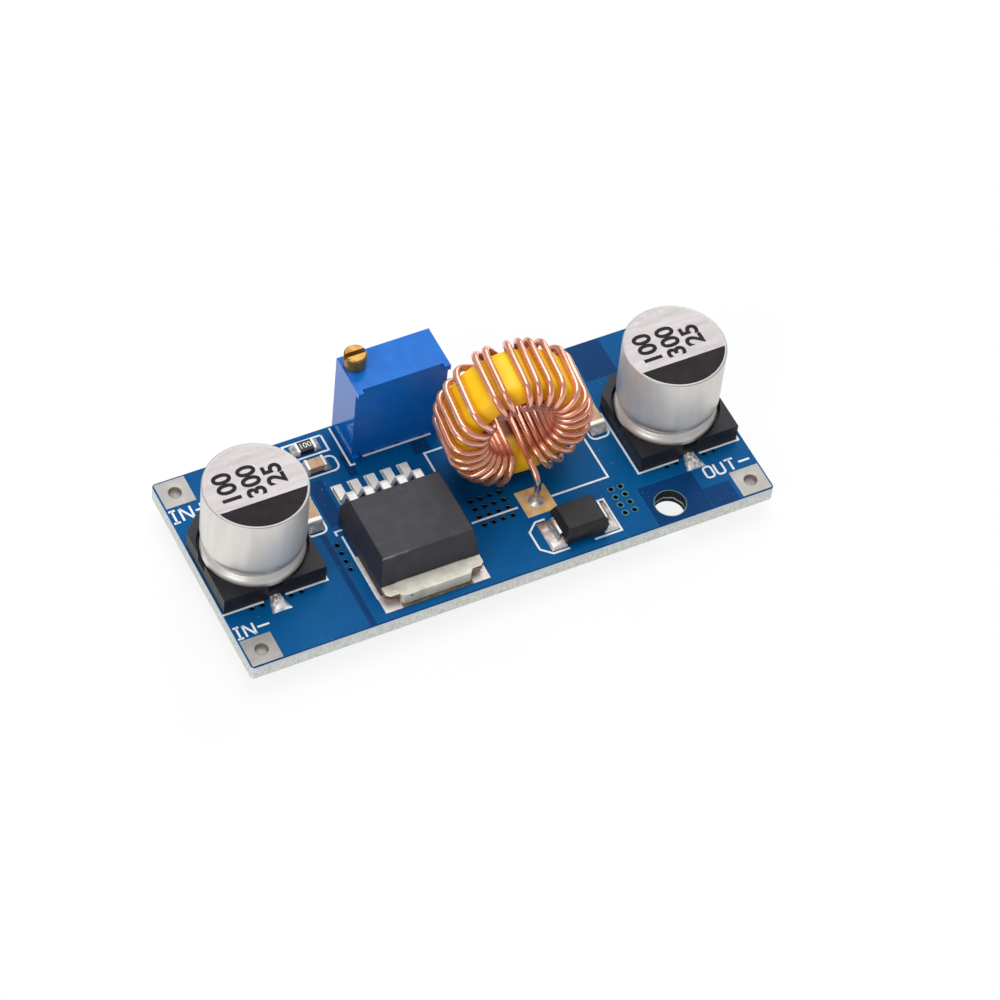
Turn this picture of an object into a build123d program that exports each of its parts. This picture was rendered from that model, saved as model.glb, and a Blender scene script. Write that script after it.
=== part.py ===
from build123d import *
import math
import os

# Step-down regulator module. Millimetres, +Z up, +X towards the output end, +Y to the back.
# The origin is under the middle of the board, level with the tips of the through-hole leads.

# Heights
lead_reach = 1.9
board_thickness = 1.6
board_top = lead_reach + board_thickness
land_thickness = 0.06
solder_thickness = 0.1
seat = board_top + solder_thickness
drill_overrun = 1.0

# Board
board_length = 54.0
board_width = 23.0
board_corner_radius = 0.4
mounting_hole_diameter = 3.0
mounting_hole_end_inset = 10.0
mounting_hole_side_inset = 2.2
via_diameter = 0.5
via_pitch = 1.0
via_sides = 6
lead_hole_clearance = 0.15
lead_hole_sides = 8
regulator_vias_x = -13.95
regulator_vias_y = -4.65
switch_vias_x = -0.3
switch_vias_y = -4.8
output_vias_x = 12.57
output_vias_y = -8.64

# Terminal lands, one in each corner of the board
terminal_side = 3.05
terminal_inset = 1.7
terminal_hole_diameter = 1.2

# Can capacitors
input_capacitor_x = -21.7
output_capacitor_x = 21.25
capacitor_y = 0.3
can_diameter = 9.9
can_height = 9.5
can_bead_inset = 0.08
can_bead_height = 1.9
can_groove_depth = 0.4
can_groove_height = 1.0
can_shoulder = 0.5
base_side = 10.3
base_plate = 1.0
base_post_height = 1.0
base_post_clearance = 0.25
base_chamfer = 1.8
flat_terminal_width = 1.0
flat_terminal_thickness = 0.2
flat_terminal_stand_out = 1.1
flat_terminal_inner_end = 1.5
flat_terminal_clearance = 0.05
capacitor_solder_width = 1.9
capacitor_solder_stand_out = 1.8
capacitor_solder_height = 0.45
capacitor_solder_side_run = 0.3
capacitor_solder_end_run = 0.7
capacitor_via_near = 1.45
capacitor_via_far = 2.5
capacitor_via_inset = 5.5

# Toroidal inductor
inductor_x = 5.0
inductor_y = 1.2
inductor_turn_deg = -5.6
inductor_seat_gap = 0.1
core_outer_radius = 6.45
core_inner_radius = 3.85
core_width = 5.4
core_edge_bevel = 0.4
wire_radius = 0.34
wire_slack = 0.07
wire_face_slack = 0.3
wire_bend_radius = 0.6
wire_bend_steps = 2
wire_sides = 7
inductor_pad_side = 3.14
inductor_pad_x = 5.43
front_pad_y = -4.15
rear_pad_y = 5.1
lead_straight = 6.5
inductor_joint_radius = 0.85
inductor_joint_height = 0.75
joint_sides = 8
joint_crest_margin = 0.12

# Turns of the winding in four groups: how many, and the first and last angle in the ring's own plane
turn_counts = (10, 2, 4, 9)
outer_angles_deg = ((251, 139), (118, 108), (92, 60), (40, -62))
inner_angles_deg = ((254, 147), (119, 107), (89, 50), (38, -64))
last_strand_deg = -78

# Power regulator package
regulator_x = -7.8
regulator_front_y = -8.62
regulator_depth = 9.32
regulator_width = 10.0
regulator_height = 4.35
regulator_side_draft = 0.4
regulator_rear_draft = 1.15
regulator_front_draft = 0.8
regulator_waist_side_draft = 0.1
regulator_waist_front_draft = 0.25
tab_thickness = 1.27
tab_reach = 1.65
tab_neck_width = 7.4
tab_wing_reach = 1.25
tab_wing_thickness = 0.6
tab_buried_depth = 7.0
tab_buried_width = 7.0
tab_corner = 0.35
regulator_lead_count = 5
regulator_lead_pitch = 1.7
regulator_lead_width = 0.85
regulator_lead_thickness = 0.45
regulator_lead_level = 2.4
regulator_lead_shoulder = 1.0
regulator_lead_drop = 0.75
regulator_lead_foot = 2.0
regulator_lead_bend = 0.35
regulator_solder_margin = 0.35
regulator_solder_depth = 5.0
lead_solder_margin = 0.1

# Rectifier diode
diode_x = 7.75
diode_y = -8.4
diode_length = 4.5
diode_width = 3.7
diode_height = 2.15
diode_waist_height = 1.0
diode_top_inset = 0.35
diode_foot_inset = 0.15
diode_lead_width = 2.0
diode_lead_thickness = 0.2
diode_lead_stand_out = 0.35
diode_lead_under = 1.1
diode_lead_bend = 0.2
diode_lead_gap = 0.02
diode_solder_width = 3.4
diode_solder_stand_out = 1.3

# Trimmer
trimmer_x = -3.7
trimmer_rear_inset = 0.05
trimmer_length = 9.5
trimmer_width = 4.85
trimmer_height = 10.0
trimmer_recess = 0.5
trimmer_lug = 0.6
trimmer_lug_root = 0.1
trimmer_notch_radius = 0.3
trimmer_notch_length = 2.0
trimmer_pin_pitch = 2.54
trimmer_pin_radius = 0.25
screw_inset = 1.27
screw_head_radius = 1.09
screw_head_height = 1.55
screw_head_gap = 0.05
screw_head_chamfer = 0.12
screw_slot_width = 0.5
screw_slot_depth = 0.65
screw_shank_radius = 0.85
screw_shank_length = 5.5
screw_running_clearance = 0.05
screw_bore_end_gap = 0.5
pin_joint_radius = 0.75
pin_joint_height = 0.7

# Chip parts
chip_resistor_x = -11.95
chip_resistor_rear_inset = 1.6
chip_capacitor_1_x = -12.05
chip_capacitor_1_rear_inset = 4.1
chip_capacitor_2_x = -15.05
chip_capacitor_2_y = 2.5
chip_capacitor_3_x = 14.6
chip_capacitor_3_y = 2.75
small_chip_length = 2.0
small_chip_width = 1.25
small_chip_end = 0.3
chip_resistor_height = 0.5
chip_capacitor_height = 0.85
large_chip_length = 3.2
large_chip_width = 1.6
large_chip_end = 0.5
large_chip_height = 1.0
chip_wrap = 0.05
chip_end_bevel = 0.08
chip_solder_stand_out = 0.45
chip_solder_edge = 0.12
chip_solder_rise_share = 0.6

# Worked out from the sizes above
mounting_hole_x = board_length / 2 - mounting_hole_end_inset
mounting_hole_y = board_width / 2 - mounting_hole_side_inset
terminal_x = board_length / 2 - terminal_inset
terminal_y = board_width / 2 - terminal_inset
terminal_hole_radius = terminal_hole_diameter / 2
winding_outer_radius = core_outer_radius + 2 * wire_radius + wire_slack
winding_half_width = core_width / 2 + wire_face_slack + wire_radius
inductor_z = board_top + inductor_seat_gap + winding_outer_radius
inductor_lead_hole_radius = wire_radius + lead_hole_clearance
ring_turn = math.radians(inductor_turn_deg)
regulator_rear_y = regulator_front_y + regulator_depth
regulator_left = regulator_x - regulator_width / 2
regulator_right = regulator_x + regulator_width / 2
trimmer_y = board_width / 2 - trimmer_rear_inset - trimmer_width / 2
trimmer_top = board_top + trimmer_height
trimmer_pin_hole_radius = trimmer_pin_radius + lead_hole_clearance
screw_x = trimmer_x - trimmer_length / 2 + screw_inset
screw_y = trimmer_y + trimmer_width / 2 - screw_inset
screw_bore_radius = screw_shank_radius + screw_running_clearance


class Chip:
    """A chip part: its place, its size and the way it lies."""

    def __init__(self, name, x, y, length, width, height, end, turn_deg):
        self.name = name
        self.x, self.y = x, y
        self.length, self.width, self.height = length, width, height
        self.end = end
        self.turn_deg = turn_deg


chip_resistor_y = board_width / 2 - chip_resistor_rear_inset
chip_capacitor_1_y = board_width / 2 - chip_capacitor_1_rear_inset
small_chip = (small_chip_length, small_chip_width)
large_chip = (large_chip_length, large_chip_width, large_chip_height, large_chip_end, 90)
chip_parts = (
    Chip("chip_resistor", chip_resistor_x, chip_resistor_y, *small_chip, chip_resistor_height, small_chip_end, 0),
    Chip(
        "chip_capacitor_1", chip_capacitor_1_x, chip_capacitor_1_y,
        *small_chip, chip_capacitor_height, small_chip_end, 0,
    ),
    Chip("chip_capacitor_2", chip_capacitor_2_x, chip_capacitor_2_y, *large_chip),
    Chip("chip_capacitor_3", chip_capacitor_3_x, chip_capacitor_3_y, *large_chip),
)


def block(x_low, x_high, y_low, y_high, z_low, z_high):
    """A rectangular block between two corners."""
    size = (x_high - x_low, y_high - y_low, z_high - z_low)
    low = (Align.MIN, Align.MIN, Align.MIN)
    return Pos(x_low, y_low, z_low) * Box(*size, align=low)


def post(x, y, z_low, z_high, radius):
    """An upright cylinder."""
    low = (Align.CENTER, Align.CENTER, Align.MIN)
    return Pos(x, y, z_low) * Cylinder(radius, z_high - z_low, align=low)


def prism(x, y, z_low, z_high, radius, sides):
    """An upright prism, for the smallest round holes."""
    return Pos(x, y, z_low) * extrude(RegularPolygon(radius, sides), z_high - z_low)


def faceted_cone(x, y, z, direction, height, radius, crest_radius):
    """Solder round a lead: it narrows from its foot at z, up or down."""
    slope = (radius - crest_radius) * math.cos(math.pi / joint_sides) / height
    foot = Pos(x, y, z) * RegularPolygon(radius, joint_sides)
    return extrude(foot, height, dir=(0, 0, direction), taper=math.degrees(math.atan(slope)))


def rectangle_at(z, x_low, x_high, y_low, y_high):
    """A rectangle face at one height, for lofts."""
    middle = Pos((x_low + x_high) / 2, (y_low + y_high) / 2, z)
    return middle * Rectangle(x_high - x_low, y_high - y_low)


def bent_strip(points, bend, width, thickness):
    """A formed strip of even section along points in an upright plane, its width across that plane."""
    line = FilletPolyline(*points, radius=bend)
    start = line @ 0
    direction = line % 0
    across = direction.cross(Vector(0, 0, 1))
    if across.length < 0.5:
        across = Vector(0, 1, 0)
    section = Plane(origin=start, x_dir=across, z_dir=direction) * Rectangle(width, thickness)
    return sweep(section, path=line)


def write(shape, node):
    """Save one piece under its own name."""
    export_step(shape, f"parts/{node}.step")


def terminal_places():
    """Names and centres of the four corner terminals."""
    return (
        ("input_positive_terminal", -terminal_x, terminal_y),
        ("input_negative_terminal", -terminal_x, -terminal_y),
        ("output_positive_terminal", terminal_x, terminal_y),
        ("output_negative_terminal", terminal_x, -terminal_y),
    )


def via_places():
    """Centres of the plated holes that carry current and heat through the board."""
    places = []
    grids = (
        (regulator_vias_x, regulator_vias_y, 1, 4),
        (switch_vias_x, switch_vias_y, 4, 4),
        (output_vias_x, output_vias_y, 2, 4),
    )
    for x_first, y_first, columns, rows in grids:
        for column in range(columns):
            for row in range(rows):
                places.append((x_first + column * via_pitch, y_first + row * via_pitch))
    for x in (input_capacitor_x, output_capacitor_x):
        for offset in (capacitor_via_near, capacitor_via_far):
            for side in (-1, 1):
                places.append((x + side * offset, capacitor_y - capacitor_via_inset))
    return places


def trimmer_pin_places():
    """Centres of the three trimmer pins."""
    return [(trimmer_x + i * trimmer_pin_pitch, trimmer_y) for i in (-1, 0, 1)]


def circuit_board():
    """The laminate with its corners eased and every hole drilled through."""
    outline = RectangleRounded(board_length, board_width, board_corner_radius)
    board = Pos(0, 0, lead_reach) * extrude(outline, board_thickness)
    holes = [(mounting_hole_x, -mounting_hole_y, mounting_hole_diameter / 2)]
    holes.append((-mounting_hole_x, mounting_hole_y, mounting_hole_diameter / 2))
    holes += [(x, y, terminal_hole_radius) for name, x, y in terminal_places()]
    low, high = lead_reach - drill_overrun, board_top + drill_overrun
    drills = [post(x, y, low, high, radius) for x, y, radius in holes]
    small = [(x, y, via_diameter / 2, via_sides) for x, y in via_places()]
    small += [(x, y, trimmer_pin_hole_radius, lead_hole_sides) for x, y in trimmer_pin_places()]
    small += [(inductor_pad_x, y, inductor_lead_hole_radius, lead_hole_sides) for y in (front_pad_y, rear_pad_y)]
    drills += [prism(x, y, low, high, radius, sides) for x, y, radius, sides in small]
    return board - drills


def terminal(x, y):
    """A square land on each face of the board, round the mouths of a plated hole."""
    half = terminal_side / 2
    low, high = lead_reach - drill_overrun, board_top + drill_overrun
    hole = post(x, y, low, high, terminal_hole_radius)
    lands = []
    for z in (lead_reach - land_thickness, board_top):
        lands.append(block(x - half, x + half, y - half, y + half, z, z + land_thickness) - hole)
    return Compound(lands)


def capacitor_can(x):
    """The drawn can: a bead at the foot, a rolled groove above it and an eased top edge."""
    radius = can_diameter / 2
    bead = radius - can_bead_inset
    groove = radius - can_groove_depth
    profile = make_face(
        Polyline(
            (0, 0),
            (bead, 0),
            (bead, can_bead_height),
            (groove, can_bead_height + can_groove_height / 2),
            (radius, can_bead_height + can_groove_height),
            (radius, can_height - can_shoulder),
            (radius - can_shoulder, can_height),
            (0, can_height),
            close=True,
        )
    )
    can = revolve(Plane.XZ * profile, Axis.Z)
    return Pos(x, capacitor_y, board_top + base_plate) * can


def capacitor_base(x):
    """The moulded seat: a plate with four corner posts, two corners cut off and two terminal channels."""
    half = base_side / 2
    outline = Pos(x, capacitor_y) * Rectangle(base_side, base_side)
    rear_corners = outline.vertices().sort_by(Axis.Y)[-2:]
    outline = chamfer(rear_corners, base_chamfer)
    base = Pos(0, 0, board_top) * extrude(outline, base_plate + base_post_height)
    well_radius = can_diameter / 2 + base_post_clearance
    well_floor = board_top + base_plate
    base -= post(x, capacitor_y, well_floor, well_floor + base_post_height + drill_overrun, well_radius)
    channel = flat_terminal_width / 2 + flat_terminal_clearance
    roof = board_top + solder_thickness + flat_terminal_thickness + flat_terminal_clearance
    inner = flat_terminal_inner_end - flat_terminal_clearance
    for side in (-1, 1):
        ends = sorted((capacitor_y + side * inner, capacitor_y + side * (half + drill_overrun)))
        base -= block(x - channel, x + channel, ends[0], ends[1], board_top - drill_overrun, roof)
    return base


def flat_terminal(x, side):
    """A flat lead that runs out from under the base to one side."""
    half = flat_terminal_width / 2
    tip = base_side / 2 + flat_terminal_stand_out
    ends = sorted((capacitor_y + side * flat_terminal_inner_end, capacitor_y + side * tip))
    return block(x - half, x + half, ends[0], ends[1], seat, seat + flat_terminal_thickness)


def capacitor_solder():
    """A wedge of solder at each of the four flat terminals."""
    wedges = []
    half = capacitor_solder_width / 2
    for x in (input_capacitor_x, output_capacitor_x):
        for side in (-1, 1):
            near = base_side / 2 + flat_terminal_clearance
            far = base_side / 2 + capacitor_solder_stand_out
            low = sorted((capacitor_y + side * near, capacitor_y + side * far))
            crest_end = far - capacitor_solder_end_run
            high = sorted((capacitor_y + side * near, capacitor_y + side * crest_end))
            crest_half = half - capacitor_solder_side_run
            top = board_top + capacitor_solder_height
            foot = rectangle_at(board_top, x - half, x + half, low[0], low[1])
            crest = rectangle_at(top, x - crest_half, x + crest_half, high[0], high[1])
            wedges.append(loft([foot, crest], ruled=True) - flat_terminal(x, side))
    return wedges


def in_ring_frame(shape):
    """From the ring's own frame, axis along Y and centre at the origin, to its place on the board."""
    return Pos(inductor_x, inductor_y, inductor_z) * Rot(0, 0, inductor_turn_deg) * shape


def pad_in_ring_frame(pad_y):
    """A lead hole's centre, seen in the ring's own frame."""
    dx = inductor_pad_x - inductor_x
    dy = pad_y - inductor_y
    cosine, sine = math.cos(ring_turn), math.sin(ring_turn)
    return cosine * dx + sine * dy, cosine * dy - sine * dx


def inductor_core():
    """The ring, with its coated edges eased."""
    section = Rectangle(core_outer_radius - core_inner_radius, core_width)
    section = chamfer(section.vertices(), core_edge_bevel)
    middle = (core_outer_radius + core_inner_radius) / 2
    ring = revolve(Pos(middle, 0) * section, Axis.Y)
    return in_ring_frame(ring)


def spread(angles_deg):
    """Evenly spaced angles within each group of turns."""
    angles = []
    for count, (first, last) in zip(turn_counts, angles_deg):
        angles += [first + (last - first) * i / (count - 1) for i in range(count)]
    return angles


def winding_corners():
    """The corners that the wire turns at, from the tip of the rear lead to the tip of the front one."""
    outer_radius = core_outer_radius + wire_radius + wire_slack
    inner_radius = core_inner_radius - wire_radius - wire_slack
    outer = spread(outer_angles_deg)
    inner = spread(inner_angles_deg) + [last_strand_deg]

    def at(radius, angle, y):
        turn = math.radians(angle)
        return radius * math.cos(turn), y, radius * math.sin(turn)

    tip = -inductor_z
    knee = lead_straight - inductor_z
    rear_x, rear_y = pad_in_ring_frame(rear_pad_y)
    front_x, front_y = pad_in_ring_frame(front_pad_y)
    corners = [(rear_x, rear_y, tip), (rear_x, rear_y, knee)]
    for k, angle in enumerate(inner):
        corners.append(at(inner_radius, angle, winding_half_width))
        corners.append(at(inner_radius, angle, -winding_half_width))
        if k < len(outer):
            corners.append(at(outer_radius, outer[k], -winding_half_width))
            corners.append(at(outer_radius, outer[k], winding_half_width))
    corners += [(front_x, front_y, knee), (front_x, front_y, tip)]
    return corners


def eased(corners, radius, steps):
    """The same route with each corner replaced by points on its tangent arc."""
    route = [Vector(*corners[0])]
    for before, corner, after in zip(corners, corners[1:], corners[2:]):
        before, corner, after = Vector(*before), Vector(*corner), Vector(*after)
        into = (corner - before).normalized()
        away = (after - corner).normalized()
        turn = math.radians(into.get_angle(away))
        start = corner - into * (radius * math.tan(turn / 2))
        side = (away - into * into.dot(away)).normalized()
        for i in range(steps + 1):
            part = turn * i / steps
            route.append(start + into * (radius * math.sin(part)) + side * (radius * (1 - math.cos(part))))
    route.append(Vector(*corners[-1]))
    return route


def inductor_winding():
    """One length of wire with a faceted section: lead, turns through and over the ring, lead."""
    line = Polyline(*eased(winding_corners(), wire_bend_radius, wire_bend_steps))
    section = Plane(origin=line @ 0, z_dir=line % 0) * RegularPolygon(wire_radius, wire_sides)
    wire = sweep(section, path=line, transition=Transition.RIGHT)
    return in_ring_frame(wire)


def inductor_pad(pad_y):
    """A bare square land round a lead hole."""
    half = inductor_pad_side / 2
    x = inductor_pad_x
    pad = block(x - half, x + half, pad_y - half, pad_y + half, board_top, board_top + land_thickness)
    low, high = board_top - drill_overrun, board_top + drill_overrun
    return pad - prism(x, pad_y, low, high, inductor_lead_hole_radius, lead_hole_sides)


def lead_joint(x, y, z, direction, lead_radius, radius, height):
    """Solder round a through-hole lead, standing up or down from z, with the lead's own hole in it."""
    joint = faceted_cone(x, y, z, direction, height, radius, lead_radius + joint_crest_margin)
    reach = lead_radius / math.cos(math.pi / joint_sides)
    return joint - prism(x, y, z - height - drill_overrun, z + height + drill_overrun, reach, joint_sides)


def inductor_solder():
    """The joints of the two winding leads, on both faces of the board."""
    size = (wire_radius, inductor_joint_radius, inductor_joint_height)
    joints = []
    for y in (front_pad_y, rear_pad_y):
        joints.append(lead_joint(inductor_pad_x, y, lead_reach, -1, *size))
        joints.append(lead_joint(inductor_pad_x, y, board_top + land_thickness, 1, *size))
    return joints


def regulator_tab():
    """The copper plate: a nose between two thinner wings, and a slab under the moulding."""
    front = regulator_front_y
    top = seat + tab_thickness
    neck, buried = tab_neck_width / 2, tab_buried_width / 2
    under = top - tab_wing_thickness
    wings = block(regulator_left, regulator_right, front - tab_wing_reach, front, under, top)
    nose = block(regulator_x - neck, regulator_x + neck, front - tab_reach, front, seat, top)
    wings = chamfer(wings.edges().filter_by(Axis.Z).sort_by(Axis.Y)[:2], tab_corner)
    nose = chamfer(nose.edges().filter_by(Axis.Z).sort_by(Axis.Y)[:2], tab_corner)
    slab = block(regulator_x - buried, regulator_x + buried, front, front + tab_buried_depth, seat, top)
    return wings + nose + slab


def regulator_body():
    """The moulded block: upright beside the tab, then drafted in on all four sides to its top."""
    left, right = regulator_left, regulator_right
    rear, front = regulator_rear_y, regulator_front_y
    tab_top = seat + tab_thickness
    lower = block(left, right, front, rear, seat, tab_top)
    shoulder = rectangle_at(tab_top, left, right, front, rear)
    side = regulator_waist_side_draft
    waist_front = front + regulator_waist_front_draft
    waist = rectangle_at(seat + regulator_lead_level, left + side, right - side, waist_front, rear)
    side = regulator_side_draft
    crown_front, crown_rear = front + regulator_front_draft, rear - regulator_rear_draft
    crown = rectangle_at(seat + regulator_height, left + side, right - side, crown_front, crown_rear)
    body = lower + loft([shoulder, waist], ruled=True) + loft([waist, crown], ruled=True)
    return body - regulator_tab()


def regulator_lead_x(number):
    """The middle of one lead, counted from 1 at the left."""
    return regulator_x + (number - (regulator_lead_count + 1) / 2) * regulator_lead_pitch


def regulator_lead(number):
    """A gull-wing lead: out of the moulding, down, and along the board."""
    x = regulator_lead_x(number)
    half = regulator_lead_thickness / 2
    high = seat + regulator_lead_level
    knee = regulator_rear_y + regulator_lead_shoulder
    heel = knee + regulator_lead_drop
    points = [
        (x, regulator_rear_y, high),
        (x, knee, high),
        (x, heel, seat + half),
        (x, heel + regulator_lead_foot, seat + half),
    ]
    return bent_strip(points, regulator_lead_bend, regulator_lead_width, regulator_lead_thickness)


def regulator_solder():
    """The solder bed under the tab and one under each lead's foot."""
    margin = regulator_solder_margin
    front = regulator_front_y - tab_reach - margin
    rear = regulator_front_y + regulator_solder_depth
    beds = [block(regulator_left - margin, regulator_right + margin, front, rear, board_top, seat)]
    heel = regulator_rear_y + regulator_lead_shoulder + regulator_lead_drop
    half = regulator_lead_width / 2 + lead_solder_margin
    for number in range(1, regulator_lead_count + 1):
        x = regulator_lead_x(number)
        beds.append(block(x - half, x + half, heel, heel + regulator_lead_foot + margin, board_top, seat))
    return beds


def diode_body():
    """The moulded block, flared from its foot to the lead line and drafted in to its top."""
    foot = seat + diode_lead_thickness
    levels = (
        (foot, diode_foot_inset),
        (foot + diode_waist_height, 0),
        (foot + diode_height - diode_lead_thickness, diode_top_inset),
    )
    half_length, half_width = diode_length / 2, diode_width / 2
    sections = [
        rectangle_at(
            z,
            diode_x - half_length + inset,
            diode_x + half_length - inset,
            diode_y - half_width + inset,
            diode_y + half_width - inset,
        )
        for z, inset in levels
    ]
    return loft(sections, ruled=True)


def diode_lead(side):
    """A strip that leaves the moulding's end at its waist and folds down and under it."""
    half = diode_lead_thickness / 2
    end = diode_x + side * diode_length / 2
    out = end + side * diode_lead_stand_out
    high = seat + diode_lead_thickness + diode_waist_height
    under = out - side * (diode_lead_stand_out + diode_lead_under)
    points = [
        (end + side * diode_lead_gap, diode_y, high),
        (out, diode_y, high),
        (out, diode_y, seat + half),
        (under, diode_y, seat + half),
    ]
    return bent_strip(points, diode_lead_bend, diode_lead_width, diode_lead_thickness)


def diode_solder():
    """The solder bed under each lead."""
    beds = []
    half = diode_solder_width / 2
    for side in (-1, 1):
        out = diode_x + side * (diode_length / 2 + diode_solder_stand_out)
        under = diode_x + side * (diode_length / 2 - diode_lead_under)
        ends = sorted((out, under))
        beds.append(block(ends[0], ends[1], diode_y - half, diode_y + half, board_top, seat))
    return beds


def trimmer_housing():
    """The moulded case: front wall set back between corner lugs, drainage notches and the screw's bore."""
    left, right = trimmer_x - trimmer_length / 2, trimmer_x + trimmer_length / 2
    front, rear = trimmer_y - trimmer_width / 2, trimmer_y + trimmer_width / 2
    wall = front + trimmer_recess
    case = block(left, right, wall, rear, board_top, trimmer_top)
    for x_low in (left, right - trimmer_lug):
        for z_low in (board_top, trimmer_top - trimmer_lug):
            root = wall + trimmer_lug_root
            case += block(x_low, x_low + trimmer_lug, front, root, z_low, z_low + trimmer_lug)
    for x, y in trimmer_pin_places():
        notch = Rot(90, 0, 0) * Cylinder(trimmer_notch_radius, trimmer_notch_length)
        case -= Pos(x, wall, board_top) * notch
    bore_depth = screw_shank_length + screw_bore_end_gap
    mouth = trimmer_top + drill_overrun
    return case - post(screw_x, screw_y, trimmer_top - bore_depth, mouth, screw_bore_radius)


def trimmer_screw():
    """The brass adjuster: a slotted head on a shank that turns in the case."""
    under = trimmer_top + screw_head_gap
    top = under + screw_head_height
    head = post(screw_x, screw_y, under, top, screw_head_radius)
    head = chamfer(head.edges().sort_by(Axis.Z)[-1], screw_head_chamfer)
    left, right = screw_x - 2 * screw_head_radius, screw_x + 2 * screw_head_radius
    front, rear = screw_y - screw_slot_width / 2, screw_y + screw_slot_width / 2
    head -= block(left, right, front, rear, top - screw_slot_depth, top + drill_overrun)
    return head + post(screw_x, screw_y, trimmer_top - screw_shank_length, under, screw_shank_radius)


def trimmer_pin(x, y):
    """A straight round pin from the underside of the case through the board."""
    return post(x, y, 0, board_top, trimmer_pin_radius)


def trimmer_solder():
    """The joints of the three trimmer pins, under the board."""
    size = (trimmer_pin_radius, pin_joint_radius, pin_joint_height)
    return [lead_joint(x, y, lead_reach, -1, *size) for x, y in trimmer_pin_places()]


def placed(chip, shape):
    """A chip part's shape, made about the origin, turned and set on the board."""
    return Pos(chip.x, chip.y, 0) * Rot(0, 0, chip.turn_deg) * shape


def chip_body(chip):
    """The ceramic block of a chip part."""
    half_length = chip.length / 2 - chip.end
    half_width = chip.width / 2 - chip_wrap
    low, high = seat + chip_wrap, seat + chip.height - chip_wrap
    return placed(chip, block(-half_length, half_length, -half_width, half_width, low, high))


def chip_ends(chip):
    """The two metal caps of a chip part, with their outer edges eased."""
    caps = []
    for side in (-1, 1):
        ends = sorted((side * chip.length / 2, side * (chip.length / 2 - chip.end)))
        cap = block(ends[0], ends[1], -chip.width / 2, chip.width / 2, seat, seat + chip.height)
        outer = cap.edges().filter_by(Axis.Y).sort_by(Axis.X)
        outer = outer[-2:] if side > 0 else outer[:2]
        caps.append(placed(chip, chamfer(outer, chip_end_bevel)))
    return caps


def chip_solder():
    """A wedge of solder at each end of each chip part."""
    wedges = []
    for chip in chip_parts:
        for side in (-1, 1):
            near = side * chip.length / 2
            under = side * (chip.length / 2 - chip.end)
            far = near + side * chip_solder_stand_out
            profile = make_face(
                Polyline(
                    (under, board_top),
                    (far, board_top),
                    (far, board_top + chip_solder_edge),
                    (near, seat + chip_solder_rise_share * chip.height),
                    (near, seat),
                    (under, seat),
                    close=True,
                )
            )
            wedges.append(placed(chip, extrude(Plane.XZ * profile, chip.width / 2, both=True)))
    return wedges


def main():
    os.makedirs("parts", exist_ok=True)
    write(circuit_board(), "circuit_board")
    for name, x, y in terminal_places():
        write(terminal(x, y), name)
    for name, x in (("input", input_capacitor_x), ("output", output_capacitor_x)):
        write(capacitor_can(x), f"{name}_capacitor_can")
        write(capacitor_base(x), f"{name}_capacitor_base")
        write(flat_terminal(x, -1), f"{name}_capacitor_front_terminal")
        write(flat_terminal(x, 1), f"{name}_capacitor_rear_terminal")
    write(Compound(capacitor_solder()), "capacitor_solder")
    write(inductor_core(), "inductor_core")
    write(inductor_winding(), "inductor_winding")
    write(inductor_pad(front_pad_y), "inductor_front_pad")
    write(inductor_pad(rear_pad_y), "inductor_rear_pad")
    write(Compound(inductor_solder()), "inductor_solder")
    write(regulator_body(), "regulator_body")
    write(regulator_tab(), "regulator_tab")
    for number in range(1, regulator_lead_count + 1):
        write(regulator_lead(number), f"regulator_lead_{number}")
    write(Compound(regulator_solder()), "regulator_solder")
    write(diode_body(), "diode_body")
    write(diode_lead(-1), "diode_left_lead")
    write(diode_lead(1), "diode_right_lead")
    write(Compound(diode_solder()), "diode_solder")
    write(trimmer_housing(), "trimmer_housing")
    write(trimmer_screw(), "trimmer_screw")
    for number, (x, y) in enumerate(trimmer_pin_places(), 1):
        write(trimmer_pin(x, y), f"trimmer_pin_{number}")
    write(Compound(trimmer_solder()), "trimmer_solder")
    for chip in chip_parts:
        write(chip_body(chip), f"{chip.name}_body")
        write(Compound(chip_ends(chip)), f"{chip.name}_ends")
    write(Compound(chip_solder()), "chip_solder")


main()
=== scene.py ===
import math

import bpy
from mathutils import Matrix, Quaternion, Vector, noise


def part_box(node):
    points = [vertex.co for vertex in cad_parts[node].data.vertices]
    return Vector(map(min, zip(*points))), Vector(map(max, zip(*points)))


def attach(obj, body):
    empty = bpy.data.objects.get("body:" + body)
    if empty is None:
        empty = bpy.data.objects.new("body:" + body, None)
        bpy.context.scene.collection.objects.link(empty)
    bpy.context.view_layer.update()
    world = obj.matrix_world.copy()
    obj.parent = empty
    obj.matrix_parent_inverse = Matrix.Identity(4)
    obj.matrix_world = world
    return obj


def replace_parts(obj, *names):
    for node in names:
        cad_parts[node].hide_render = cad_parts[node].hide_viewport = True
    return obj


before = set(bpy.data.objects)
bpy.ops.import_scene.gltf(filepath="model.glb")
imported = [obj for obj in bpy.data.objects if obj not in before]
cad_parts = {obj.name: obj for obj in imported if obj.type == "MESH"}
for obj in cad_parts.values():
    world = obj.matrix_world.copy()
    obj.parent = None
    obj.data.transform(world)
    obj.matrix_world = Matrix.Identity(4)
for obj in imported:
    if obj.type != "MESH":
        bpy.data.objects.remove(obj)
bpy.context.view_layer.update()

# Lengths are in millimetres here and become metres where a mesh is made.
MM = 0.001


def box(node):
    """A CAD node's lowest and highest corner, in millimetres."""
    low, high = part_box(node)
    return low / MM, high / MM


def middle(node):
    """The centre of a CAD node's box, in millimetres."""
    low, high = box(node)
    return (low + high) / 2


board_low, board_high = box("circuit_board")
board_top = board_high.z
board_under = board_low.z
half_length = board_high.x
print_lift = 0.02
mounting_radius = 1.5
mounting_places = ((17.0, -9.3), (-17.0, 9.3))


# Meshes

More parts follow.
